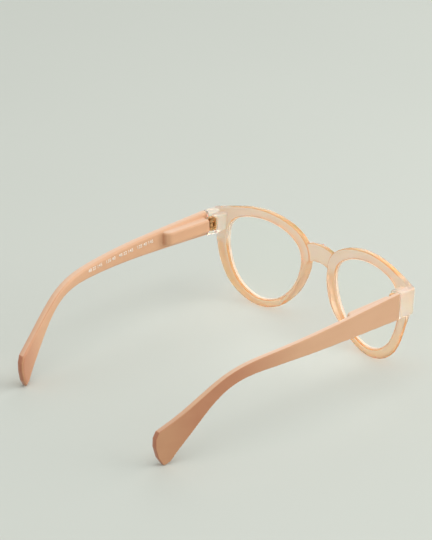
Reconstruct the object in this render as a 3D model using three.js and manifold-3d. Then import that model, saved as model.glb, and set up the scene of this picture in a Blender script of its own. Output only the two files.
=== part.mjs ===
// Reading glasses with a moulded front and sprung hinges, standing open on a table.
// Millimetres. X runs to the wearer's left, Y from the front to the temple tips, and Z up.
// The origin is on the table, under the middle of the glasses.
import * as THREE from 'three';
import { mergeVertices } from 'three/addons/utils/BufferGeometryUtils.js';
import { TessellateModifier } from 'three/addons/modifiers/TessellateModifier.js';
import Module from 'manifold-3d';

const wasm = await Module();
wasm.setup();

// The sizes that an optician gives
const LENS_WIDTH = 48.2;
const LENS_HEIGHT = 44.6;
const BRIDGE_WIDTH = 22.4;
const TEMPLE_REACH = 133.4;

// Lens and groove
const LENS_BEVEL = 0.8;
const BEVEL_WIDTH = 1.6;
const LENS_EDGE = 1.6;
const LENS_BULGE = 2.2;
const LENS_HOLLOW = 1.5;
const LENS_GAP = 0.25;
const LENS_RING_SHARES = [1, 0.65, 0.25];

// Front: rims, bridge and end pieces
const RIM_WIDTH = 4;
const RIM_DEPTH = 3.3;
const RIM_ROUND = 0.5;
const RIM_EASE = 2.5;
const RIM_LOW = 3.9;
const FACE_RADIUS = 272;
const FACE_TILT = THREE.MathUtils.degToRad(2.47);
const BRIDGE_HEIGHT = 9.2;
const BRIDGE_LOWER = 3;
const BRIDGE_DROP = 1.1;
const BRIDGE_FILLET = 4.2;
const BRIDGE_STEP = 0.7;
const END_REACH = 8.4;
const END_RISE = 6.5;
const END_DROP = 7.2;
const END_ROUND = 1.2;
const END_START_SHARE = 0.19;
const END_MIDDLE_SHARE = 0.12;
const PAD_STAND = 2.7;
const PAD_FLARE = 1;
const PAD_LAND = 1.5;
const PAD_START_SHARE = 0.425;
const PAD_END_SHARE = 0.66;
const PAD_FULLNESS_SHARE = 0.7;

// Hinge: the upright pivot and its three barrels
const PIVOT_INSET = 5.5;
const PIVOT_Y = 13.2;
const HINGE_LOWER = 6.8;
const BARREL_RADIUS = 1.35;
const BARREL_HEIGHT = 1.9;
const BARREL_GAP = 0.25;
const SCREW_RADIUS = 0.55;
const SCREW_HEAD_RADIUS = 1.05;
const SCREW_HEAD_HEIGHT = 0.6;
const RUNNING_GAP = 0.25;
const BOSS_BACK = 1.9;
const BOSS_WIDTH = 5.3;
const BOSS_HEIGHT = 9;
const LEAF_DEPTH = 2;
const ARM_INSET = 0.25;

// Temple: outer face, thickness and the shape seen from the side
const TEMPLE_THICK = 3.1;
const TIP_THICK = 3.6;
const TEMPLE_EASE = 1.6;
const TEMPLE_EASE_STEPS = 3;
const TEMPLE_RISE = 6.2;
const TEMPLE_SEAM = 0.45;
const CURVE_IN = 18.3;
const CURVE_START_SHARE = 0.235;
const CURVE_POWER_SHARE = 2.4;

// Sprung hinge in the block on the temple's inner face
const BLOCK_WALL = 0.6;
const BLOCK_SHOULDER = 1.65;
const BLOCK_SOLID = 4.1;
const BLOCK_SLOPE = 4;
const BLOCK_ROUND = 1.1;
const BLOCK_FRONT = 2;
const CASE_WALL = 0.5;
const CASE_ROOM = 2.3;
const CASE_PROUD = 0.2;
const STEM_WIDTH = 2;
const STEM_SHIFT = 1.1;
const STEM_LENGTH = 10.8;
const ROD_RADIUS = 0.4;
const ROD_HOLD = 2;
const ROD_LENGTH = 14.8;
const ROD_HEAD = 1;
const RING_GAP = 0.4;
const RING_LENGTH = 2;
const WIRE = 0.35;
const SPRING_TURNS = 8;

// How finely round shapes are stepped
const LENS_STEPS = 48;
const ROUND_STEPS = 16;
const CURL_STEPS = 8;
const WIRE_SIDES = 5;
const PAD_STEPS = 12;
const CURVE_STEPS = 6;
const LINE_STEPS = 19;
const BEND_STEP = 9;
const BEND_ROUNDS = 8;
const OVERRUN = 1;

// The lens opening, from its temple side round over the top: across and up from the opening's
// middle in shares of its half sizes, then the rim's width there as a share of RIM_WIDTH.
const OPENING_SHARES = [
  [1.00, 0.36, 1.72], [0.955, 0.62, 1.50], [0.79, 0.83, 1.45], [0.47, 0.955, 1.28],
  [0.05, 1.00, 1.22], [-0.38, 0.935, 1.27], [-0.72, 0.785, 1.42], [-0.93, 0.58, 1.55],
  [-1.00, 0.30, 1.42], [-0.95, -0.03, 1.16], [-0.84, -0.32, 1.04], [-0.66, -0.60, 0.94],
  [-0.36, -0.87, 0.98], [0.08, -1.00, 1.04], [0.47, -0.875, 1.24], [0.77, -0.575, 1.42],
  [0.93, -0.19, 1.52], [0.99, 0.10, 1.60],
];
const openingWidth = LENS_WIDTH - 2 * (LENS_BEVEL - LENS_GAP);
const openingHeight = LENS_HEIGHT - 2 * (LENS_BEVEL - LENS_GAP);
const openingTop = RIM_LOW + openingHeight;
const openingMiddle = new THREE.Vector2(
  (BRIDGE_WIDTH + LENS_WIDTH) / 2,
  (RIM_LOW + openingTop) / 2,
);

// Places that follow from the lens: the front's end, the bridge and the hinge
const frontHalf = BRIDGE_WIDTH / 2 + LENS_WIDTH + END_REACH;
const bridgeTop = openingTop - BRIDGE_LOWER;
const hingeLevel = openingTop - HINGE_LOWER;
const endTop = hingeLevel + END_RISE;
const endLow = hingeLevel - END_DROP;
const pivotX = frontHalf - PIVOT_INSET;

const openingCurve = new THREE.CatmullRomCurve3(
  OPENING_SHARES.map(([x, y, rim]) => new THREE.Vector3(
    openingMiddle.x + x * openingWidth / 2,
    openingMiddle.y + y * openingHeight / 2,
    rim * RIM_WIDTH,
  )),
  true,
);

// A place on the opening's edge, with the way out from the lens, the rim's width there and how far
// the front's outer edge is eased, which grows below the end piece and towards the temples
function openingPlace(share) {
  const at = openingCurve.getPoint(share);
  const way = openingCurve.getTangent(share);
  const lowShare = THREE.MathUtils.smoothstep(-at.y, -endLow, -openingMiddle.y);
  const outShare = (at.x - openingMiddle.x) / openingWidth + 1 / 2;
  return {
    at: new THREE.Vector2(at.x, at.y),
    out: new THREE.Vector2(way.y, -way.x).normalize(),
    rim: at.z,
    ease: RIM_ROUND + (RIM_EASE - RIM_ROUND) * lowShare * Math.max(0, outShare),
  };
}

// A point of the flat front beside such a place: so far out, and so far forward from the back face
function beside(place, distance, w) {
  const p = place.at.clone().addScaledVector(place.out, distance);
  return new THREE.Vector3(p.x, p.y, w);
}

// The opening's outline moved outward by a distance
function lensOutline(distance, w) {
  return Array.from({ length: LENS_STEPS }, (_, i) => beside(openingPlace(i / LENS_STEPS), distance, w));
}

// Gives a geometry's triangles to the boolean library as one closed body
function solid(geometry) {
  const bare = new THREE.BufferGeometry();
  bare.setAttribute('position', geometry.getAttribute('position'));
  bare.setIndex(geometry.index);
  const welded = mergeVertices(bare);
  return new wasm.Manifold(new wasm.Mesh({
    numProp: 3,
    vertProperties: new Float32Array(welded.getAttribute('position').array),
    triVerts: new Uint32Array(welded.index.array),
  }));
}

// Turns a body of the boolean library back into a geometry
function geometryOf(body) {
  const mesh = body.getMesh();
  const geometry = new THREE.BufferGeometry();
  geometry.setAttribute('position', new THREE.BufferAttribute(new Float32Array(mesh.vertProperties), 3));
  geometry.setIndex(Array.from(mesh.triVerts));
  return geometry;
}

// Joins geometries into one body and takes the cutters out of it
function formed(geometries, cutters = []) {
  const whole = geometries.map(solid).reduce((body, next) => body.add(next));
  return geometryOf(cutters.map(solid).reduce((body, next) => body.subtract(next), whole));
}

// Joins rings of points with equal counts into a closed body, as a loop or with end caps
function loft(rings, loop = false) {
  const count = rings[0].length;
  const points = rings.flat();
  const faces = [];
  const spans = loop ? rings.length : rings.length - 1;
  for (let r = 0; r < spans; r += 1) {
    for (let i = 0; i < count; i += 1) {
      const a = r * count + i;
      const b = r * count + (i + 1) % count;
      const c = ((r + 1) % rings.length) * count + i;
      const d = ((r + 1) % rings.length) * count + (i + 1) % count;
      faces.push(a, b, d, a, d, c);
    }
  }
  if (!loop) {
    const last = (rings.length - 1) * count;
    for (let i = 1; i < count - 1; i += 1) {
      faces.push(0, i + 1, i, last, last + i, last + i + 1);
    }
  }
  const geometry = new THREE.BufferGeometry().setFromPoints(points);
  geometry.setIndex(faces);
  return volume(geometry) < 0 ? flipped(geometry) : geometry;
}

// Six times the enclosed volume, which is below zero when the faces point inward
function volume(geometry) {
  const p = geometry.getAttribute('position');
  const [a, b, c] = [new THREE.Vector3(), new THREE.Vector3(), new THREE.Vector3()];
  let sum = 0;
  for (let i = 0; i < geometry.index.count; i += 3) {
    a.fromBufferAttribute(p, geometry.index.getX(i));
    b.fromBufferAttribute(p, geometry.index.getX(i + 1));
    c.fromBufferAttribute(p, geometry.index.getX(i + 2));
    sum += a.dot(b.cross(c));
  }
  return sum;
}

function flipped(geometry) {
  const index = geometry.index.array;
  for (let i = 0; i < index.length; i += 3) {
    [index[i + 1], index[i + 2]] = [index[i + 2], index[i + 1]];
  }
  return geometry;
}

// The same shape for the other side of the face
function mirrored(geometry) {
  const bare = new THREE.BufferGeometry();
  bare.setAttribute('position', geometry.getAttribute('position').clone());
  bare.setIndex(geometry.index);
  const copy = mergeVertices(bare);
  copy.scale(-1, 1, 1);
  return flipped(copy);
}

function forSide(side, geometry) {
  return side > 0 ? geometry : mirrored(geometry);
}

function moved(geometry, x, y, z) {
  return geometry.clone().translate(x, y, z);
}

// A plate of an outline with rounded edges. The outline stays its widest section.
function plate(shape, thickness, round, steps = 2) {
  return new THREE.ExtrudeGeometry(shape, {
    depth: thickness - 2 * round,
    bevelThickness: round,
    bevelSize: round,
    bevelOffset: -round,
    bevelSegments: steps,
    curveSegments: 1,
  }).translate(0, 0, round);
}

// A box from its low corner to its high corner
function box(low, high) {
  const size = high.map((value, i) => value - low[i]);
  const middle = high.map((value, i) => (value + low[i]) / 2);
  return new THREE.BoxGeometry(...size).translate(...middle);
}

// A round bar that stands on its low end
function upright(radius, low, high) {
  return new THREE.CylinderGeometry(radius, radius, high - low, ROUND_STEPS)
    .rotateX(Math.PI / 2)
    .translate(0, 0, (high + low) / 2);
}

// A round bar along Y
function lengthwise(radius, low, high) {
  return new THREE.CylinderGeometry(radius, radius, high - low, ROUND_STEPS)
    .translate(0, (high + low) / 2, 0);
}

// From the flat front, where Z counts from the back face to the front face, to the worn front:
// its top leans forward and its ends curve back round the face.
function bendFront(geometry) {
  const p = geometry.getAttribute('position');
  for (let i = 0; i < p.count; i += 1) {
    const at = frontPlace(p.getX(i), p.getY(i), p.getZ(i));
    p.setXYZ(i, at.x, at.y, at.z);
  }
  return geometry;
}

function frontPlace(u, v, w) {
  return new THREE.Vector3(
    u,
    u * u / (2 * FACE_RADIUS) - Math.sin(FACE_TILT) * v - Math.cos(FACE_TILT) * w,
    Math.cos(FACE_TILT) * v - Math.sin(FACE_TILT) * w,
  );
}

// Rim, still flat: one section led round the opening
function rim() {
  return loft(Array.from({ length: LENS_STEPS }, (_, i) => {
    const place = openingPlace(i / LENS_STEPS);
    const { rim: wide, ease } = place;
    return [
      beside(place, 0, RIM_ROUND),
      beside(place, RIM_ROUND, 0),
      beside(place, wide - RIM_ROUND, 0),
      beside(place, wide, RIM_ROUND),
      beside(place, wide, RIM_DEPTH - ease),
      beside(place, wide - ease / 3, RIM_DEPTH - ease / 3),
      beside(place, wide - ease, RIM_DEPTH),
      beside(place, RIM_ROUND, RIM_DEPTH),
      beside(place, 0, RIM_DEPTH - RIM_ROUND),
    ];
  }), true);
}

function bridgeShape() {
  const end = (BRIDGE_WIDTH + LENS_BEVEL) / 2 - RIM_WIDTH / 2;
  const low = bridgeTop - BRIDGE_HEIGHT;
  const shape = new THREE.Shape();
  shape.moveTo(-end, low - BRIDGE_FILLET);
  shape.bezierCurveTo(-end / 2, low + BRIDGE_DROP, end / 2, low + BRIDGE_DROP, end, low - BRIDGE_FILLET);
  shape.lineTo(end, bridgeTop - 2 * BRIDGE_DROP);
  shape.quadraticCurveTo(0, bridgeTop + 2 * BRIDGE_DROP, -end, bridgeTop - 2 * BRIDGE_DROP);
  return new THREE.Shape(shape.getPoints(CURVE_STEPS));
}

// The end piece leaves the rim's top in one sweep and drops straight at its outer end
function endShape() {
  const [top, inside, under] = [END_START_SHARE, END_MIDDLE_SHARE, 0].map(openingPlace);
  const start = beside(top, top.rim, 0);
  const root = beside(top, top.rim / 2, 0);
  const middle = beside(inside, inside.rim / 2, 0);
  const foot = beside(under, under.rim / 2, 0);
  const shape = new THREE.Shape();
  shape.moveTo(start.x, start.y);
  shape.lineTo(root.x, root.y);
  shape.lineTo(middle.x, middle.y);
  shape.lineTo(foot.x, foot.y);
  shape.lineTo(foot.x, endLow - 2 * END_ROUND);
  shape.lineTo(frontHalf - 2 * END_ROUND, endLow - END_ROUND);
  shape.quadraticCurveTo(frontHalf, endLow - END_ROUND / 2, frontHalf, endLow + 2 * END_ROUND);
  shape.lineTo(frontHalf, endTop - 1.5 * END_ROUND);
  shape.quadraticCurveTo(frontHalf, endTop, frontHalf - 1.5 * END_ROUND, endTop);
  shape.quadraticCurveTo(
    (frontHalf + start.x) / 2,
    (endTop + start.y) / 2 + END_ROUND / 2,
    start.x,
    start.y,
  );
  return new THREE.Shape(shape.getPoints(CURVE_STEPS).slice(1));
}

// Nose pad: a ridge along the rim's nasal side that stands back from it and leans with the nose
function nosePad() {
  const span = PAD_END_SHARE - PAD_START_SHARE;
  const rings = Array.from({ length: PAD_STEPS + 1 }, (_, i) => {
    const place = openingPlace(PAD_START_SHARE + span * i / PAD_STEPS);
    const stand = PAD_STAND * Math.sin(Math.PI * i / PAD_STEPS) ** PAD_FULLNESS_SHARE - RIM_ROUND / 2;
    const edge = place.rim - PAD_FLARE;
    return [
      beside(place, place.rim - RIM_ROUND / 2, RIM_ROUND),
      beside(place, place.rim - RIM_ROUND / 2, RIM_DEPTH / 2),
      beside(place, RIM_WIDTH / 3, RIM_DEPTH / 2),
      beside(place, RIM_WIDTH / 3, RIM_ROUND / 2),
      beside(place, edge - PAD_LAND, -stand),
      beside(place, edge, -stand),
    ];
  });
  return bendFront(loft(rings));
}

// What the lens takes out of the rim: a groove round the opening
function grooveCutter() {
  const middle = RIM_DEPTH / 2;
  const half = BEVEL_WIDTH / 2 + LENS_GAP;
  const rise = half * (LENS_BEVEL + OVERRUN) / LENS_BEVEL;
  const tip = lensOutline(LENS_BEVEL, middle);
  const front = lensOutline(-OVERRUN, middle + rise);
  const back = lensOutline(-OVERRUN, middle - rise);
  return bendFront(loft(tip.map((p, i) => [p, front[i], back[i]]), true));
}

// Lens: a bevelled edge and two domed faces, a little thicker in the middle
function lens() {
  const middle = RIM_DEPTH / 2;
  const face = (edge, dome) => LENS_RING_SHARES.map((share) => {
    const centre = new THREE.Vector3(openingMiddle.x, openingMiddle.y, edge);
    return lensOutline(-LENS_GAP, edge)
      .map((p) => p.lerp(centre, 1 - share).setZ(edge + dome * (1 - share * share)));
  });
  const back = face(middle - LENS_EDGE / 2, LENS_HOLLOW).reverse();
  const front = face(middle + LENS_EDGE / 2, LENS_BULGE);
  return bendFront(loft([...back, lensOutline(LENS_BEVEL - LENS_GAP, middle), ...front]));
}

// The boss behind the end piece, which carries the hinge leaf, and the lug that meets the temple.
// Both are given round the pivot, like everything at the hinge.
const lugIn = BARREL_RADIUS + BARREL_GAP;
const bossLow = lugIn + OVERRUN - BOSS_WIDTH;
const lugOut = PIVOT_INSET;
const hingeHalf = 1.5 * BARREL_HEIGHT + BARREL_GAP;
const plateBack = pivotX * pivotX / (2 * FACE_RADIUS) - Math.sin(FACE_TILT) * hingeLevel - PIVOT_Y;

function boss() {
  const low = plateBack - RIM_DEPTH / 2;
  const shape = new THREE.Shape();
  shape.moveTo(bossLow, -BOSS_HEIGHT / 2);
  shape.lineTo(lugIn + OVERRUN, -BOSS_HEIGHT / 2);
  shape.lineTo(lugIn + OVERRUN, BOSS_HEIGHT / 2);
  shape.lineTo(bossLow, BOSS_HEIGHT / 2);
  return plate(shape, -BOSS_BACK - low, RIM_ROUND)
    .rotateX(Math.PI / 2)
    .translate(0, -BOSS_BACK, 0);
}

function lug() {
  const front = plateBack - RIM_DEPTH / 2;
  const shape = new THREE.Shape();
  shape.moveTo(front, -END_DROP);
  shape.lineTo(0, -END_DROP);
  shape.lineTo(0, TEMPLE_RISE);
  shape.lineTo(front, END_RISE - RIM_ROUND);
  return alongSide(plate(shape, lugOut - lugIn, RIM_ROUND)).translate(lugIn, 0, 0);
}

// Lays an outline drawn as (back, up), with its thickness in Z, along the side of the head
function alongSide(geometry) {
  return geometry.rotateX(Math.PI / 2).rotateZ(Math.PI / 2);
}

// Hinge leaf: a plate in the boss and an upper and a lower barrel with their arms
function leafBlank(gap) {
  const wide = BARREL_RADIUS + gap;
  return box(
    [-wide, -BOSS_BACK - LEAF_DEPTH - gap, -hingeHalf - gap],
    [wide, -BOSS_BACK + gap, hingeHalf + gap],
  );
}

function frontHinge() {
  const barrel = upright(BARREL_RADIUS, -hingeHalf, hingeHalf);
  const armHalf = BARREL_RADIUS - ARM_INSET;
  const arm = box([-armHalf, -BOSS_BACK - LEAF_DEPTH / 2, -hingeHalf], [armHalf, 0, hingeHalf]);
  const slot = BARREL_HEIGHT / 2 + BARREL_GAP;
  const gate = box(
    [-BARREL_RADIUS - OVERRUN, -BARREL_RADIUS - RUNNING_GAP, -slot],
    [BARREL_RADIUS + OVERRUN, BARREL_RADIUS + OVERRUN, slot],
  );
  const bore = upright(SCREW_RADIUS + RUNNING_GAP, -hingeHalf - OVERRUN, hingeHalf + OVERRUN);
  return formed([leafBlank(0), arm, barrel], [gate, bore]);
}

function hingeScrew() {
  const top = hingeHalf + BARREL_GAP;
  const shaft = upright(SCREW_RADIUS, -hingeHalf, top + SCREW_HEAD_HEIGHT / 2);
  const head = upright(SCREW_HEAD_RADIUS, top, top + SCREW_HEAD_HEIGHT);
  return formed([shaft, head]);
}

// Places along the inside of the case, counted from the pivot
const stemHalf = STEM_WIDTH / 2;
const stemFront = BARREL_RADIUS / 2;
const ringFront = STEM_LENGTH + RING_GAP;
const ringBack = ringFront + RING_LENGTH;
const rodFront = STEM_LENGTH - ROD_HOLD;
const headFront = rodFront + ROD_LENGTH - ROD_HEAD;
const caseFront = BLOCK_FRONT - CASE_PROUD;
const caseBack = headFront + ROD_HEAD + CASE_ROOM + CASE_WALL;
const boreHalf = stemHalf + RUNNING_GAP;
const boreTall = BARREL_HEIGHT / 2 + RUNNING_GAP;
const caseHalf = boreHalf + CASE_WALL;
const caseTall = boreTall + CASE_WALL;

function slider() {
  const eye = upright(BARREL_RADIUS, -BARREL_HEIGHT / 2, BARREL_HEIGHT / 2);
  const stem = box(
    [STEM_SHIFT - stemHalf, stemFront, -BARREL_HEIGHT / 2],
    [STEM_SHIFT + stemHalf, STEM_LENGTH, BARREL_HEIGHT / 2],
  );
  const bore = upright(SCREW_RADIUS + RUNNING_GAP, -BARREL_HEIGHT, BARREL_HEIGHT);
  const hole = lengthwise(ROD_RADIUS + RUNNING_GAP, rodFront - RUNNING_GAP, STEM_LENGTH + OVERRUN);
  return formed([eye, stem], [bore, moved(hole, STEM_SHIFT, 0, 0)]);
}

function stemScrew() {
  const rod = lengthwise(ROD_RADIUS, rodFront, headFront + ROD_HEAD / 2);
  const head = lengthwise(stemHalf, headFront, headFront + ROD_HEAD);
  return formed([rod, head]).translate(STEM_SHIFT, 0, 0);
}

function lockRing() {
  const body = box(
    [-stemHalf, ringFront, -BARREL_HEIGHT / 2],
    [stemHalf, ringBack, BARREL_HEIGHT / 2],
  );
  const bore = lengthwise(ROD_RADIUS + RUNNING_GAP, ringFront - OVERRUN, ringBack + OVERRUN);
  return formed([body], [bore]).translate(STEM_SHIFT, 0, 0);
}

// One wire wound round the rod. Its ends run straight for one wire's width, square to their seats.
function spring() {
  const radius = stemHalf - WIRE / 2;
  const low = ringBack + RUNNING_GAP;
  const high = headFront - RUNNING_GAP;
  const steps = SPRING_TURNS * CURL_STEPS;
  const rise = (high - low - 2 * WIRE) / steps;
  const line = [new THREE.Vector3(radius, low, 0)];
  for (let i = 0; i <= steps; i += 1) {
    const angle = 2 * Math.PI * i / CURL_STEPS;
    line.push(new THREE.Vector3(radius * Math.cos(angle), low + WIRE + i * rise, radius * Math.sin(angle)));
  }
  line.push(new THREE.Vector3(radius, high, 0));
  let gap = Infinity;
  line.forEach((p, i) => {
    line.slice(i + CURL_STEPS - 1).forEach((q) => {
      gap = Math.min(gap, p.distanceTo(q) - WIRE);
    });
  });
  console.log(`Least gap between the spring's turns: ${gap.toFixed(2)} mm`);
  const rings = line.map((p, i) => {
    const end = i === 0 || i === line.length - 1;
    const along = end
      ? new THREE.Vector3(0, 1, 0)
      : line[i + 1].clone().sub(line[i - 1]).normalize();
    const outward = new THREE.Vector3(p.x, 0, p.z);
    outward.addScaledVector(along, -outward.dot(along)).normalize();
    const across = along.clone().cross(outward);
    return Array.from({ length: WIRE_SIDES }, (_, k) => {
      const angle = 2 * Math.PI * k / WIRE_SIDES;
      return p.clone()
        .addScaledVector(outward, WIRE / 2 * Math.cos(angle))
        .addScaledVector(across, WIRE / 2 * Math.sin(angle));
    });
  });
  return loft(rings).translate(STEM_SHIFT, 0, 0);
}

// The case is a box open to the front, and the block's pocket is the same box with a gap
function caseBlank(gap) {
  const wide = caseHalf + gap;
  const tall = caseTall + gap;
  return box([-wide, caseFront, -tall], [wide, caseBack + gap, tall]).translate(STEM_SHIFT, 0, 0);
}

// The stem's way through the temple's end, in front of the case
function stemWay() {
  return box(
    [-boreHalf, -OVERRUN, -boreTall],
    [boreHalf, caseFront + CASE_PROUD, boreTall],
  ).translate(STEM_SHIFT, 0, 0);
}

function springHousing() {
  const bore = box(
    [-boreHalf, caseFront - OVERRUN, -boreTall],
    [boreHalf, caseBack - CASE_WALL, boreTall],
  );
  return formed([caseBlank(0)], [bore.translate(STEM_SHIFT, 0, 0)]);
}

// The temple seen from the side, as shares of its reach behind the seam and of its height over
// the table: the top line, the rounded tip and the lower line, back to the seam
const TEMPLE_TOP_SHARES = [
  [0, 1], [0.215, 0.968], [0.393, 0.940], [0.546, 0.908], [0.621, 0.890], [0.673, 0.868],
  [0.718, 0.836], [0.762, 0.785], [0.800, 0.722], [0.855, 0.612], [0.913, 0.490], [0.968, 0.388],
];
const TIP_SHARES = [
  [0.989, 0.350], [0.999, 0.280], [1, 0.190], [0.991, 0.074], [0.975, -0.0069],
];
const TEMPLE_LOW_SHARES = [
  [0.953, 0.024], [0.926, 0.133], [0.881, 0.290], [0.826, 0.480], [0.786, 0.590], [0.755, 0.652],
  [0.722, 0.697], [0.681, 0.728], [0.621, 0.746], [0.495, 0.750], [0.354, 0.744], [0.124, 0.726],
  [0, 0.714],
];

function templeShape() {
  const place = ([along, up]) => new THREE.Vector2(
    TEMPLE_SEAM + along * TEMPLE_REACH,
    up * (hingeLevel + TEMPLE_RISE) - hingeLevel,
  );
  const top = new THREE.SplineCurve(TEMPLE_TOP_SHARES.map(place)).getPoints(LINE_STEPS);
  const tip = TIP_SHARES.map(place);
  const low = new THREE.SplineCurve(TEMPLE_LOW_SHARES.map(place)).getPoints(LINE_STEPS);
  const front = [low.at(-1), top[0]].map((p) => new THREE.Vector2(-TEMPLE_EASE - OVERRUN, p.y));
  return new THREE.Shape([...top, ...tip, ...low, ...front]);
}

// The arm, still straight: flat outside and rounded off all round its inner face, so it is half of
// a plate of twice its thickness, cut square at the seam
function armBlank() {
  const whole = alongSide(plate(templeShape(), 2 * TEMPLE_THICK, TEMPLE_EASE, TEMPLE_EASE_STEPS));
  const { min, max } = new THREE.Box3().setFromBufferAttribute(whole.getAttribute('position'));
  const over = (z) => z + Math.sign(z) * OVERRUN;
  return formed([whole], [
    box([TEMPLE_THICK, min.y - OVERRUN, over(min.z)], [max.x + OVERRUN, max.y + OVERRUN, over(max.z)]),
    box([-OVERRUN, min.y - OVERRUN, over(min.z)], [max.x + OVERRUN, TEMPLE_SEAM, over(max.z)]),
  ]);
}

// How far along its curved stretch a place on the temple lies. The stretch before it is straight.
function curvedShare(back) {
  const start = CURVE_START_SHARE * TEMPLE_REACH;
  return Math.max(0, (back - start) / (TEMPLE_REACH - start));
}

// Draws the temple in to the head and makes it thicker towards its tip. X counts from its inner face.
function bendTemple(geometry) {
  const p = geometry.getAttribute('position');
  for (let i = 0; i < p.count; i += 1) {
    const share = curvedShare(p.getY(i));
    const thick = TEMPLE_THICK + (TIP_THICK - TEMPLE_THICK) * share;
    const outside = lugOut - CURVE_IN * share ** CURVE_POWER_SHARE;
    p.setX(i, outside - thick * (1 - p.getX(i) / TEMPLE_THICK));
  }
  return geometry;
}

function block() {
  const face = lugOut - TEMPLE_THICK;
  const root = face + TEMPLE_THICK / 3;
  const inner = STEM_SHIFT - caseHalf - RUNNING_GAP - BLOCK_WALL;
  const half = caseTall + RUNNING_GAP + BLOCK_SHOULDER;
  const end = caseBack + BLOCK_SOLID;
  const shape = new THREE.Shape();
  shape.moveTo(root, BLOCK_FRONT);
  shape.lineTo(root, end);
  shape.lineTo(face - BLOCK_ROUND, end);
  shape.quadraticCurveTo(inner, end - BLOCK_ROUND, inner, end - BLOCK_SLOPE);
  shape.lineTo(inner, BLOCK_FRONT);
  return plate(new THREE.Shape(shape.getPoints(CURVE_STEPS)), 2 * half, BLOCK_ROUND)
    .translate(0, 0, -half);
}

function temple() {
  const arm = bendTemple(new TessellateModifier(BEND_STEP, BEND_ROUNDS).modify(armBlank()));
  return formed([arm, block()], [caseBlank(RUNNING_GAP), stemWay()]);
}

function frontFrame() {
  const flat = [moved(plate(bridgeShape(), RIM_DEPTH - BRIDGE_STEP, RIM_ROUND), 0, 0, BRIDGE_STEP)];
  [1, -1].forEach((side) => {
    flat.push(forSide(side, rim()));
    flat.push(forSide(side, plate(endShape(), RIM_DEPTH, RIM_ROUND)));
  });
  const face = bendFront(new TessellateModifier(BEND_STEP, BEND_ROUNDS).modify(formed(flat)));
  const added = [face];
  const taken = [];
  [1, -1].forEach((side) => {
    const atPivot = (geometry) => moved(forSide(side, geometry), side * pivotX, PIVOT_Y, hingeLevel);
    added.push(forSide(side, nosePad()), atPivot(boss()), atPivot(lug()));
    taken.push(forSide(side, grooveCutter()), atPivot(leafBlank(RUNNING_GAP)));
  });
  return formed(added, taken);
}

const peach = new THREE.MeshStandardMaterial({ color: 0xe6c7a0, roughness: 0.35, metalness: 0 });
const clear = new THREE.MeshStandardMaterial({
  color: 0xf4f7f2, roughness: 0.05, metalness: 0, transparent: true, opacity: 0.35,
});
const tan = new THREE.MeshStandardMaterial({ color: 0xd3a681, roughness: 0.7, metalness: 0 });
const brass = new THREE.MeshStandardMaterial({ color: 0xc9a25c, roughness: 0.3, metalness: 1 });
const steel = new THREE.MeshStandardMaterial({ color: 0xb4b6b8, roughness: 0.35, metalness: 1 });

function piece(name, geometry, material) {
  geometry.computeVertexNormals();
  const mesh = new THREE.Mesh(geometry, material);
  mesh.name = name;
  return mesh;
}

// Everything that turns about one pivot, placed there
function sideGroup(name, side) {
  const group = new THREE.Group();
  group.position.set(side * pivotX, PIVOT_Y, hingeLevel);
  const pieces = [
    ['front_hinge', frontHinge(), brass],
    ['hinge_screw', hingeScrew(), brass],
    ['temple', temple(), tan],
    ['spring_housing', springHousing(), steel],
    ['slider', slider(), brass],
    ['stem_screw', stemScrew(), steel],
    ['lock_ring', lockRing(), steel],
    ['spring', spring(), steel],
  ];
  pieces.forEach(([what, geometry, material]) => {
    group.add(piece(`${name}_${what}`, forSide(side, geometry), material));
  });
  return group;
}

const glasses = new THREE.Group();
glasses.add(piece('front_frame', frontFrame(), peach));
glasses.add(piece('left_lens', lens(), clear));
glasses.add(piece('right_lens', mirrored(lens()), clear));
glasses.add(sideGroup('left', 1));
glasses.add(sideGroup('right', -1));

// The origin goes under the middle of the whole pair, at the level that it stands on
const bounds = new THREE.Box3().setFromObject(glasses);
glasses.position.set(0, -(bounds.min.y + bounds.max.y) / 2, -bounds.min.z);
const group = new THREE.Group();
group.add(glasses);

export default group;
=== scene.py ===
"""Looks of the reading glasses: smooth forms, materials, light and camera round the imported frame."""
import math

import bmesh
import bpy
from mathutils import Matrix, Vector
from mathutils.bvhtree import BVHTree


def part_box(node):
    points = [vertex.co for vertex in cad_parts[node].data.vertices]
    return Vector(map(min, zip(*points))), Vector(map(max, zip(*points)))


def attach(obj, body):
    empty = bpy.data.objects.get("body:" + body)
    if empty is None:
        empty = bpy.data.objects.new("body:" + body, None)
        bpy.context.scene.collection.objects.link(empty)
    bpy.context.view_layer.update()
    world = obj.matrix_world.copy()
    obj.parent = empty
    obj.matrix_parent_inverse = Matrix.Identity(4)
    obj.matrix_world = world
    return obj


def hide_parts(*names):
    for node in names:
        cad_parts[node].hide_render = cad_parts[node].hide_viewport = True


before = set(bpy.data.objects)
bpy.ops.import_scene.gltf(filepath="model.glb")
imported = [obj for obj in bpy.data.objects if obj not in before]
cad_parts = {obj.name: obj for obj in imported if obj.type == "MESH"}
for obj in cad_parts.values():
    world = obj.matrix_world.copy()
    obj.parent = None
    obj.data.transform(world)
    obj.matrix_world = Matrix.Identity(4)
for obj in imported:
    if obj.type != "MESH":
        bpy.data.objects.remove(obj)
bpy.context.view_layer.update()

MM = 0.001
X, Y, Z = 0, 1, 2
SIDES = ("left", "right")


# Camera

# The camera fit was made in a frame of its own, in which the hinge screw stands here
FIT_PIVOT_Y = 13.2 * MM
FIT_SCREW_LOW = 37.5 * MM
screw_low, screw_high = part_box("left_hinge_screw")
SHIFT = Vector((
    0,
    (screw_low[Y] + screw_high[Y]) / 2 - FIT_PIVOT_Y,
    screw_low[Z] - FIT_SCREW_LOW,
))
CAMERA_AT = Vector((-577.13, 595.69, 409.43)) * MM
CAMERA_TARGET = Vector((5.254, 61.8, 49.085)) * MM
CAMERA_LENS = 123.0
CAMERA_SENSOR = 36.0
CAMERA_CLIP = 10.0 * MM
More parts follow.
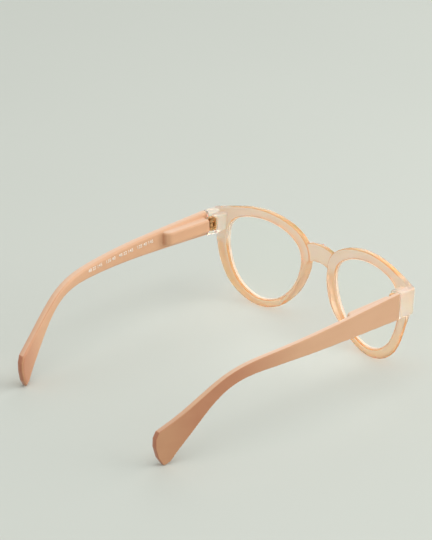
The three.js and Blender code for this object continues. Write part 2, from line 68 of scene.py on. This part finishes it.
# The picture's directions along the floor, toward its viewer and to its right
PICTURE_NEAR = Vector((-0.737, 0.676, 0))
PICTURE_RIGHT = Vector((-PICTURE_NEAR.y, PICTURE_NEAR.x, 0))


# Colours


def srgb(red, green, blue):
    """A colour as a picture shows it, 0 to 255, in the linear values that shaders take."""
    def linear(value):
        value /= 255
        return value / 12.92 if value <= 0.04045 else ((value + 0.055) / 1.055) ** 2.4
    return (linear(red), linear(green), linear(blue), 1.0)


WALL_PEACH = srgb(255, 200, 142)
EDGE_PEACH = srgb(255, 166, 88)
FACE_PEACH = srgb(255, 231, 216)
LOW_EDGE_PEACH = srgb(255, 152, 62)
LOW_FACE_PEACH = srgb(253, 225, 197)
# The end pieces' faces and sides; painted light makes the sides paler
END_FACE_PEACH = srgb(248, 226, 211)
END_SIDE_HIGHLIGHT_PEACH = srgb(255, 244, 232)
PAD_PEACH = srgb(255, 216, 186)
# Painted highlight on the temples' upward faces, and painted shade on their end faces
UPPER_HIGHLIGHT_TAN = srgb(226, 186, 156)
END_SHADE_TAN = srgb(178, 112, 80)
SKY_GREY = srgb(240, 243, 240)
MASK = ((0, 0, 0, 1), (1, 1, 1, 1))

# Each pair holds the two colours that a material's mottle wanders between
STRAIGHT_TAN = (srgb(219, 168, 130), srgb(223, 173, 135))
# Painted shade of the temples' rear: outside behind the bend, and inside at the tip
REAR_SHADE_TAN = (srgb(196, 132, 97), srgb(201, 138, 102))
# Painted shade of the outer face at the tip, lighter than at the rear
TIP_SHADE_TAN = (srgb(206, 149, 111), srgb(211, 155, 116))
GROUND_WHITE = (srgb(255, 241, 228), srgb(255, 247, 238))
BRASS_GOLD = (srgb(206, 158, 108), srgb(226, 184, 132))
STEEL_GREY = (srgb(150, 148, 142), srgb(186, 184, 178))
INK_WHITE = (srgb(240, 228, 214), srgb(250, 242, 232))
FLOOR_GREY = (srgb(200, 203, 196), srgb(203, 206, 199))
MOTTLE = (0.3, 0.7)
BRASS_MOTTLE = (0.35, 0.7)

# Where one colour passes into the next along an axis of the piece, each from its start to its end
END_PIECE_ACROSS = (56.0 * MM, 60.0 * MM)
END_PIECE_UP = (28.0 * MM, 32.0 * MM)
PAD_ACROSS = (20.0 * MM, 15.0 * MM)
PAD_DOWN = (36.0 * MM, 32.0 * MM)
RIM_UP = (8.0 * MM, 38.0 * MM)
# Along the temple: where painted shade deepens the outer faces, where it eases on the outer tip and where it
# deepens the inner face
TEMPLE_BEND = (6.0 * MM, 40.0 * MM)
TEMPLE_TIP = (58.0 * MM, 72.0 * MM)
TEMPLE_TIP_INSIDE = (58.0 * MM, 74.0 * MM)
# Along the temple, where the painted shade of the end faces grows
END_RISE = (20.0 * MM, 55.0 * MM)
# How much of the end faces' painted shade shows before that rise, where all of it shows after
END_SHARE = 0.4

# How squarely a wall, an edge and a wide face of the front look along the front's depth, as cosines
WALL_TURN = 0.28
EDGE_TURN = 0.74
FACE_TURN = 0.94
# The cosines between which one colour passes into the next
# End piece sides, paler with painted light
END_SIDE_TURN = (0.40, 0.80)
# Upward faces, which take a painted highlight
UPPER_TURN = (0.70, 0.95)
# End faces, which take painted shade
END_FACE_TURN = (0.72, 0.90)
# Faces that turn sideways and faces that turn back, which together take the outer faces' painted shade
SIDEWAYS_TURN = (0.70, 0.90)
BACKWARD_TURN = (0.0, 0.05)


# Materials

# The Mix node has sockets of the same name for each kind of data, so its colour sockets go by number
MIX_FACTOR = 0
MIX_FIRST = 6
MIX_SECOND = 7
MIX_RESULT = 2


class Nodes:
    """A material's node tree, with short ways to add and join nodes."""

    def __init__(self, name):
        self.material = bpy.data.materials.new(name)
        self.material.use_nodes = True
        self.tree = self.material.node_tree
        self.shader = self.tree.nodes["Principled BSDF"]
        self.output = self.tree.nodes["Material Output"]

    def add(self, kind, **values):
        """A new node, with its settings and the plain values of its inputs."""
        node = self.tree.nodes.new(kind)
        for key, value in values.items():
            if hasattr(node, key):
                setattr(node, key, value)
            else:
                node.inputs[key.replace("_", " ")].default_value = value
        return node

    def join(self, source, target):
        self.tree.links.new(source, target)

    def set(self, **values):
        """Plain values of the shader's inputs."""
        for key, value in values.items():
            self.shader.inputs[key.replace("_", " ")].default_value = value

    def color(self, source):
        self.join(source, self.shader.inputs["Base Color"])

    def spread(self, value, low, high):
        """Leads a value from 0 to 1 to a range."""
        node = self.add("ShaderNodeMapRange", To_Min=low, To_Max=high)
        self.join(value, node.inputs["Value"])
        return node.outputs["Result"]

    def rough(self, grain, low, high):
        """A roughness that follows a grain from one value to another."""
        self.join(self.spread(grain, low, high), self.shader.inputs["Roughness"])

    def noise(self, scale, detail, stretch=(1, 1, 1)):
        """A grain from 0 to 1, laid in the piece's own frame."""
        place = self.add("ShaderNodeTexCoord")
        mapping = self.add("ShaderNodeMapping", Scale=stretch)
        noise = self.add("ShaderNodeTexNoise", Scale=scale, Detail=detail)
        self.join(place.outputs["Object"], mapping.inputs["Vector"])
        self.join(mapping.outputs["Vector"], noise.inputs["Vector"])
        return noise.outputs["Fac"]

    def along(self, kind, axis):
        """A place (Object) or the way a surface faces (Normal) along one axis of the piece."""
        source = self.add("ShaderNodeTexCoord")
        parts = self.add("ShaderNodeSeparateXYZ")
        self.join(source.outputs[kind], parts.inputs["Vector"])
        return parts.outputs[axis]

    def unsigned(self, value):
        node = self.add("ShaderNodeMath", operation="ABSOLUTE")
        self.join(value, node.inputs["Value"])
        return node.outputs["Value"]

    def passing(self, value, span):
        """0 where a value is at the start of a span, 1 where it is at the end."""
        start, end = span
        node = self.add("ShaderNodeMapRange", From_Min=start, From_Max=end)
        self.join(value, node.inputs["Value"])
        return node.outputs["Result"]

    def facing(self, axis):
        """How squarely a surface faces along one axis, whichever way round."""
        return self.unsigned(self.along("Normal", axis))

    def reach(self, axis, span):
        """Passes from 0 to 1 between two places on an axis."""
        return self.passing(self.along("Object", axis), span)

    def reach_both_ways(self, axis, span):
        """The same, measured from the middle to either side."""
        return self.passing(self.unsigned(self.along("Object", axis)), span)

    def both(self, first, second):
        """The product of two values from 0 to 1."""
        node = self.add("ShaderNodeMath", operation="MULTIPLY")
        self.join(first, node.inputs[0])
        self.join(second, node.inputs[1])
        return node.outputs["Value"]

    def mixed(self, factor, first, second):
        """The first colour where the factor is 0, the second where it is 1."""
        node = self.add("ShaderNodeMix", data_type="RGBA")
        self.join(factor, node.inputs[MIX_FACTOR])
        for place, color in ((MIX_FIRST, first), (MIX_SECOND, second)):
            if isinstance(color, tuple):
                node.inputs[place].default_value = color
            else:
                self.join(color, node.inputs[place])
        return node.outputs[MIX_RESULT]

    def ramp(self, factor, stops):
        """Colours in a row, each at its place from 0 to 1."""
        node = self.add("ShaderNodeValToRGB")
        band = node.color_ramp
        band.elements[0].position, band.elements[0].color = stops[0]
        band.elements[1].position, band.elements[1].color = stops[-1]
        for position, color in stops[1:-1]:
            band.elements.new(position).color = color
        self.join(factor, node.inputs["Fac"])
        return node.outputs["Color"]

    def between(self, value, span, pair):
        """The first colour of a pair to the second, as a value passes through a span."""
        return self.ramp(value, list(zip(span, pair)))

    def bump(self, grain, strength, distance):
        node = self.add("ShaderNodeBump", Strength=strength, Distance=distance)
        self.join(grain, node.inputs["Height"])
        self.join(node.outputs["Normal"], self.shader.inputs["Normal"])


def front_plastic():
    """Milky clear plastic dyed a pale peach: faint on wide faces, orange on walls, deepest at edges."""
    m = Nodes("peach_clear_plastic")
    m.set(IOR=1.25, Transmission_Weight=0.7, Subsurface_Weight=1.0, Subsurface_Scale=0.006)
    m.set(Coat_Weight=0.6, Coat_Roughness=0.12, Subsurface_Radius=(1.0, 0.75, 0.5))
    turn = m.facing(Y)
    upper = m.ramp(turn, [(WALL_TURN, WALL_PEACH), (EDGE_TURN, EDGE_PEACH), (FACE_TURN, FACE_PEACH)])
    # The rims' lower half takes deeper oranges than the upper
    lower = m.ramp(turn, [(WALL_TURN, WALL_PEACH), (EDGE_TURN, LOW_EDGE_PEACH), (FACE_TURN, LOW_FACE_PEACH)])
    rims = m.mixed(m.reach(Z, RIM_UP), lower, upper)
    pads = m.both(m.reach_both_ways(X, PAD_ACROSS), m.reach(Z, PAD_DOWN))
    rims = m.mixed(pads, rims, PAD_PEACH)
    ends = m.both(m.reach_both_ways(X, END_PIECE_ACROSS), m.reach(Z, END_PIECE_UP))
    # Painted light: the end pieces' sides paler than their faces
    end_pieces = m.between(m.facing(X), END_SIDE_TURN, (END_FACE_PEACH, END_SIDE_HIGHLIGHT_PEACH))
    m.color(m.mixed(ends, rims, end_pieces))
    m.rough(m.noise(scale=90, detail=4), low=0.04, high=0.10)
    m.bump(m.noise(scale=260, detail=2), strength=0.08, distance=0.1 * MM)
    body = m.add("ShaderNodeVolumeAbsorption", Color=(0.99, 0.66, 0.25, 1.0), Density=8.0)
    m.join(body.outputs["Volume"], m.output.inputs["Volume"])
    return m.material


def lens_clear():
    """A coated lens, so clear that it hardly bends or mirrors the light."""
    m = Nodes("clear_lens")
    m.set(IOR=1.05, Transmission_Weight=1.0, Coat_Weight=0.2, Coat_Roughness=0.02)
    m.set(Base_Color=(0.99, 1.0, 0.985, 1.0))
    m.rough(m.noise(scale=30, detail=2), low=0.0, high=0.02)
    return m.material


def lens_ground():
    """The lens edge as it is ground: matt and nearly white, with a faint peach of painted light from the rim
    round it.
    """
    m = Nodes("ground_lens_edge")
    m.set(IOR=1.15, Transmission_Weight=0.3)
    m.color(m.between(m.noise(scale=1500, detail=3), MOTTLE, GROUND_WHITE))
    m.rough(m.noise(scale=2500, detail=2), low=0.5, high=0.7)
    return m.material


def temple_plastic():
    """Soft-touch coat: matt tan, with painted shade at the rear outside and on ends, and a painted highlight
    on top.
    """
    m = Nodes("soft_touch_tan")
    m.set(IOR=1.5, Sheen_Weight=0.5, Sheen_Roughness=0.35)
    mottle = m.noise(scale=120, detail=5, stretch=(1, 0.35, 1))
    straight = m.between(mottle, MOTTLE, STRAIGHT_TAN)
    rear_shade = m.between(mottle, MOTTLE, REAR_SHADE_TAN)
    tip = m.between(mottle, MOTTLE, TIP_SHADE_TAN)
    # Painted shade: deeper outside behind the bend and a little lighter at the tip, deeper inside at the tip
    outer = m.mixed(m.reach(Y, TEMPLE_BEND), straight, rear_shade)
    outer = m.mixed(m.reach(Y, TEMPLE_TIP), outer, tip)
    inner = m.mixed(m.reach(Y, TEMPLE_TIP_INSIDE), straight, rear_shade)
    # Faces that turn back and sideways take the outer colours with their painted shade
    backward = m.passing(m.along("Normal", Y), BACKWARD_TURN)
    sideways = m.between(m.facing(X), SIDEWAYS_TURN, MASK)
    sides = m.mixed(m.both(backward, sideways), inner, outer)
    # Painted shade on the end faces, lighter towards the front
    end_faces = m.between(m.facing(Y), END_FACE_TURN, MASK)
    share = m.spread(m.reach(Y, END_RISE), low=END_SHARE, high=1.0)
    sides = m.mixed(m.both(end_faces, share), sides, END_SHADE_TAN)
    # Painted highlight on faces that face up
    upper = m.between(m.facing(Z), UPPER_TURN, MASK)
    m.color(m.mixed(upper, sides, UPPER_HIGHLIGHT_TAN))
    m.rough(m.noise(scale=400, detail=3), low=0.38, high=0.48)
    m.bump(m.noise(scale=6000, detail=2), strength=0.25, distance=0.02 * MM)
    return m.material


def brass():
    """Brass, with fine marks that run up and down."""
    m = Nodes("gold_brass")
    m.set(Metallic=1.0)
    m.color(m.between(m.noise(scale=900, detail=4), BRASS_MOTTLE, BRASS_GOLD))
    m.rough(m.noise(scale=2500, detail=3, stretch=(1, 1, 0.1)), low=0.28, high=0.45)
    m.bump(m.noise(scale=3000, detail=2, stretch=(1, 1, 0.15)), strength=0.15, distance=0.02 * MM)
    return m.material


def steel():
    """Steel, with its grain along the temple."""
    m = Nodes("spring_steel")
    m.set(Metallic=1.0)
    m.color(m.between(m.noise(scale=1200, detail=3, stretch=(1, 0.1, 1)), MOTTLE, STEEL_GREY))
    m.rough(m.noise(scale=3000, detail=3, stretch=(1, 0.1, 1)), low=0.3, high=0.5)
    return m.material


def ink():
    """The warm white ink of the size numbers, slightly uneven."""
    m = Nodes("white_ink")
    m.color(m.between(m.noise(scale=2000, detail=3), MOTTLE, INK_WHITE))
    m.rough(m.noise(scale=3000, detail=2), low=0.45, high=0.6)
    return m.material


def paper():
    """The pale matt floor, with a wide and very faint mottle."""
    m = Nodes("pale_floor")
    m.set(Roughness=0.9, Specular_IOR_Level=0.1)
    m.color(m.between(m.noise(scale=2, detail=2), MOTTLE, FLOOR_GREY))
    return m.material


PEACH = front_plastic()
CLEAR = lens_clear()
GROUND = lens_ground()
TAN = temple_plastic()
BRASS = brass()
STEEL = steel()
INK = ink()
PAPER = paper()


# Forms

MERGE_WITHIN = 0.0001 * MM
FRONT_VOXEL = 0.32 * MM
FRONT_ROUNDS = 6
ARM_VOXEL = 0.27 * MM
ARM_ROUNDS = 3
ROUND_FACTOR = 0.5
BRASS_BEVEL = 0.1 * MM
STEEL_BEVEL = 0.06 * MM
BEVEL_SEGMENTS = 2
BEVEL_FROM = math.radians(40)
LENS_SHARP_FROM = math.radians(25)
# A lens face never turns further from the front than this, as a cosine, and its edge always does
LENS_FACE_TURN = 0.92


def linked(name, data):
    """A new object in the scene."""
    made = bpy.data.objects.new(name, data)
    bpy.context.scene.collection.objects.link(made)
    return made


def as_mesh(source):
    """The mesh of an object as its modifiers, or its text, make it."""
    graph = bpy.context.evaluated_depsgraph_get()
    return bpy.data.meshes.new_from_object(source.evaluated_get(graph))


def applied(piece):
    """Bakes a piece's modifiers into its mesh."""
    mesh = as_mesh(piece)
    piece.modifiers.clear()
    piece.data = mesh
    return piece


def merged_copy(node):
    """A copy of a CAD node's mesh, with the doubled points of its facets merged."""
    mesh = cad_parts[node].data.copy()
    work = bmesh.new()
    work.from_mesh(mesh)
    bmesh.ops.remove_doubles(work, verts=work.verts, dist=MERGE_WITHIN)
    work.to_mesh(mesh)
    work.free()
    return mesh


def piece_of(name, mesh, material, body):
    """A piece that rides on a body, in one material, with smooth faces."""
    piece = linked(name, mesh)
    mesh.materials.clear()
    mesh.materials.append(material)
    for face in mesh.polygons:
        face.use_smooth = True
        face.material_index = 0
    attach(piece, body)
    return piece


def smooth_copy(name, node, material, body, voxel, rounds):
    """A finer and softer copy of a CAD node, which it replaces, kept inside the node's box."""
    work = linked(name, merged_copy(node))
    remesh = work.modifiers.new("remesh", "REMESH")
    remesh.mode = "VOXEL"
    remesh.voxel_size = voxel
    ease = work.modifiers.new("ease", "SMOOTH")
    ease.factor = ROUND_FACTOR
    ease.iterations = rounds
    mesh = applied(work).data
    bpy.data.objects.remove(work)
    low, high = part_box(node)
    for vertex in mesh.vertices:
        vertex.co = [min(max(value, low[axis]), high[axis]) for axis, value in enumerate(vertex.co)]
    piece = piece_of(name, mesh, material, body)
    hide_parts(node)
    return piece


def lens_copy(name, node):
    """A copy of a lens, which it replaces, with a ground edge between its two polished faces."""
    mesh = merged_copy(node)
    piece = piece_of(name, mesh, CLEAR, "front")
    mesh.materials.append(GROUND)
    piece.visible_shadow = False
    for face in mesh.polygons:
        face.material_index = int(abs(face.normal.y) < LENS_FACE_TURN)
    mesh.set_sharp_from_angle(angle=LENS_SHARP_FROM)
    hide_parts(node)
    return piece


def dress(node, material, bevel=0.0):
    """Gives a CAD node its material, and rounds its sharp edges a little."""
    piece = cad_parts[node]
    for slot in piece.material_slots:
        slot.material = material
    if bevel:
        edge = piece.modifiers.new("edge", "BEVEL")
        edge.width = bevel
        edge.segments = BEVEL_SEGMENTS
        edge.limit_method = "ANGLE"
        edge.angle_limit = BEVEL_FROM
        edge.harden_normals = False


moulding = smooth_copy(
    "front_moulding", "front_frame", PEACH, "front", FRONT_VOXEL, FRONT_ROUNDS,
)
# The front is clear plastic, whose full shadow would be far too dark
moulding.visible_shadow = False
for lens in ("left_lens", "right_lens"):
    lens_copy(f"{lens}_polished", lens)

arms = {}
for side in SIDES:
    arms[side] = smooth_copy(
        f"{side}_arm", f"{side}_temple", TAN, f"{side}_temple_body", ARM_VOXEL, ARM_ROUNDS,
    )
    for what in ("front_hinge", "slider", "hinge_screw"):
        dress(f"{side}_{what}", BRASS, BRASS_BEVEL)
    for what in ("spring_housing", "lock_ring", "stem_screw"):
        dress(f"{side}_{what}", STEEL, STEEL_BEVEL)
    dress(f"{side}_spring", STEEL)


# Size numbers on the left temple's inner face

# The line that they stand on, in the camera fit's frame
PRINT_START = Vector((0, 94.0, 39.3)) * MM
PRINT_END = Vector((0, 47.0, 41.4)) * MM
PRINT_HEIGHT = 2.4 * MM
PRINT_BOLD = 0.04 * MM
PRINT_PROUD = 0.03 * MM
PRINT_SUNK = 0.02 * MM
# Each group and its start as a share of the line. 48, 22, 145 and 135 are the model's lens width, gap
# between the lenses, temple length and front width, rounded down to millimetres. 40 is no size of it.
PRINT_GROUPS = (("48 22 145", 0.00), ("135 40", 0.26), ("48 22 145", 0.45), ("135 40 145", 0.71))


def flat_numbers(name, text):
    """A flat mesh of a group of numbers, lying in its own plane."""
    curve = bpy.data.curves.new(name, "FONT")
    curve.body = text
    curve.size = PRINT_HEIGHT
    curve.offset = PRINT_BOLD
    curve.align_y = "CENTER"
    holder = linked(name, curve)
    mesh = as_mesh(holder)
    bpy.data.objects.remove(holder)
    return mesh


def printed(name, text, share, arm):
    """Numbers laid on the arm's inner face, starting at a share of the printed line."""
    line = PRINT_END - PRINT_START
    along = line.normalized()
    across = Vector((0, -along.z, along.y))
    if across.z < 0:
        across.negate()
    mesh = flat_numbers(name, text)
    surface = BVHTree.FromPolygons(
        [vertex.co.copy() for vertex in arm.data.vertices],
        [list(face.vertices) for face in arm.data.polygons],
    )
    start = PRINT_START + SHIFT + line * share
    for vertex in mesh.vertices:
        spot = start + along * vertex.co.x + across * vertex.co.y
        hit = surface.ray_cast(Vector((0, spot.y, spot.z)), Vector((1, 0, 0)))[0]
        vertex.co = Vector((hit.x - PRINT_PROUD, spot.y, spot.z))
    mesh.update()
    piece = piece_of(name, mesh, INK, "left_temple_body")
    layer = piece.modifiers.new("layer", "SOLIDIFY")
    layer.thickness = PRINT_PROUD + PRINT_SUNK
    return applied(piece)


for number, (text, share) in enumerate(PRINT_GROUPS, 1):
    printed(f"size_numbers_{number}", text, share, arms["left"])


# Stage, light and camera

FLOOR_HALF = 1.1
SKY_STRENGTH = 0.65


def floor():
    """A square floor that carries the shadows."""
    mesh = bpy.data.meshes.new("floor")
    signs = ((-1, -1), (1, -1), (1, 1), (-1, 1))
    corners = [(across * FLOOR_HALF, along * FLOOR_HALF, 0) for across, along in signs]
    mesh.from_pydata(corners, [], [(0, 1, 2, 3)])
    plane = linked("floor", mesh)
    mesh.materials.append(PAPER)


def lamp(name, right, nearer, up, size, power):
    """A round soft light that looks at the origin, placed by the picture, in metres."""
    light = bpy.data.lights.new(name, "AREA")
    light.shape = "DISK"
    light.size = size
    light.energy = power
    holder = linked(name, light)
    holder.location = PICTURE_RIGHT * right + PICTURE_NEAR * nearer + Vector((0, 0, up))
    holder.rotation_euler = (-holder.location).to_track_quat("-Z", "Y").to_euler()


def sky():
    """An even pale light from all round."""
    world = bpy.data.worlds.new("studio")
    bpy.context.scene.world = world
    world.use_nodes = True
    background = world.node_tree.nodes["Background"]
    background.inputs["Color"].default_value = SKY_GREY
    background.inputs["Strength"].default_value = SKY_STRENGTH


def photo_camera():
    """The camera at the photograph's view."""
    data = bpy.data.cameras.new("camera")
    data.lens = CAMERA_LENS
    data.sensor_width = CAMERA_SENSOR
    data.sensor_fit = "AUTO"
    data.clip_start = CAMERA_CLIP
    camera = linked("camera", data)
    camera.location = CAMERA_AT + SHIFT
    camera.rotation_euler = (CAMERA_TARGET - CAMERA_AT).to_track_quat("-Z", "Y").to_euler()
    bpy.context.scene.camera = camera


floor()
lamp("overhead", right=0.1, nearer=0.3, up=1.2, size=1.0, power=5.2)
lamp("back_softbox", right=0.2, nearer=-1.4, up=0.7, size=1.0, power=3.2)
lamp("right_softbox", right=1.3, nearer=-0.15, up=0.6, size=1.4, power=11.0)
lamp("left_softbox", right=-1.2, nearer=0.3, up=0.5, size=1.2, power=2.0)
sky()
photo_camera()
bpy.context.scene.view_settings.view_transform = "Standard"
